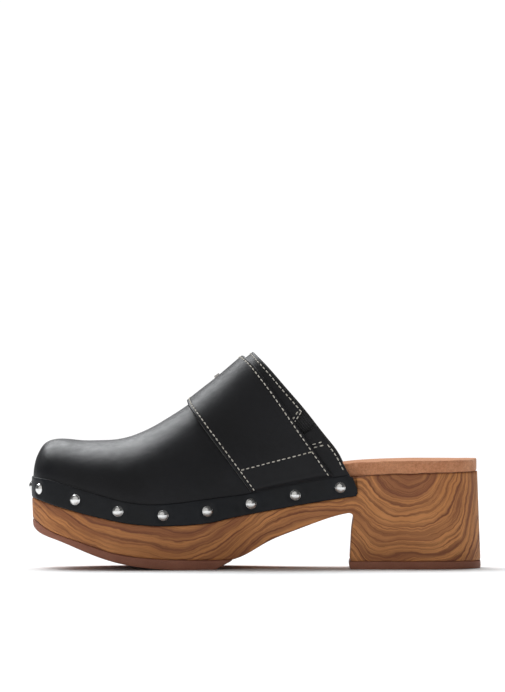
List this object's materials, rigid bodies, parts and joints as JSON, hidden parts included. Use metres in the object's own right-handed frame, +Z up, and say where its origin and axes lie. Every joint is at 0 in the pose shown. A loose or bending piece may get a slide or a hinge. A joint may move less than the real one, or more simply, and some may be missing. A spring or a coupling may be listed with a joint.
{
  "type": "wooden clog",
  "caption": "Right-foot wooden clog: black leather upper held by a studded leather rand, buckled instep strap, padded footbed, platform and block heel in wood.",
  "frame": {"origin": "centre of the bounding box in plan, on the floor under the sole", "axes": "+X from toe to heel, +Y from the inner side of the foot to the outer side, +Z up"},
  "size_m": [0.2518, 0.0964, 0.1204],
  "materials": {
    "wood": "satin varnished wood with visible growth lines",
    "sole_rubber": "matte brown rubber",
    "nail_steel": "plain steel",
    "cushion": "soft foam",
    "suede": "tan suede",
    "black_leather": "smooth semi-matte black leather",
    "lining": "smooth natural lining leather",
    "stiffener": "plain stiffener sheet",
    "elastic": "ribbed black elastic",
    "rand_leather": "smooth black leather band",
    "stud_metal": "polished silver metal",
    "buckle_metal": "polished dark silver metal"
  },
  "bodies": {
    "clog": {"wooden_sole": "wood", "forefoot_outsole": "sole_rubber", "heel_top_piece": "sole_rubber", "heel_top_piece_nails": "nail_steel", "footbed_cushion": "cushion", "footbed_cover": "suede", "vamp": "black_leather", "vamp_lining": "lining", "toe_puff": "stiffener", "elastic_gore": "elastic", "rand": "rand_leather", "rand_studs": "stud_metal", "instep_strap": "black_leather", "buckle_chape": "black_leather", "strap_keeper": "black_leather"},
    "buckle": {"buckle_frame": "buckle_metal"},
    "prong": {"buckle_prong": "buckle_metal"}
  },
  "joints": [
    {"name": "buckle_lift", "type": "hinge", "parent": "clog", "child": "buckle", "pos_m": [-0.00646, 0.03784, 0.08913], "axis": [-0.7994, 0.1045, -0.5916], "range_deg": [0, 8]},
    {"name": "prong_lift", "type": "hinge", "parent": "buckle", "child": "prong", "pos_m": [-0.00646, 0.03784, 0.08913], "axis": [-0.7994, 0.1045, -0.5916], "range_deg": [0, 40]}
  ]
}
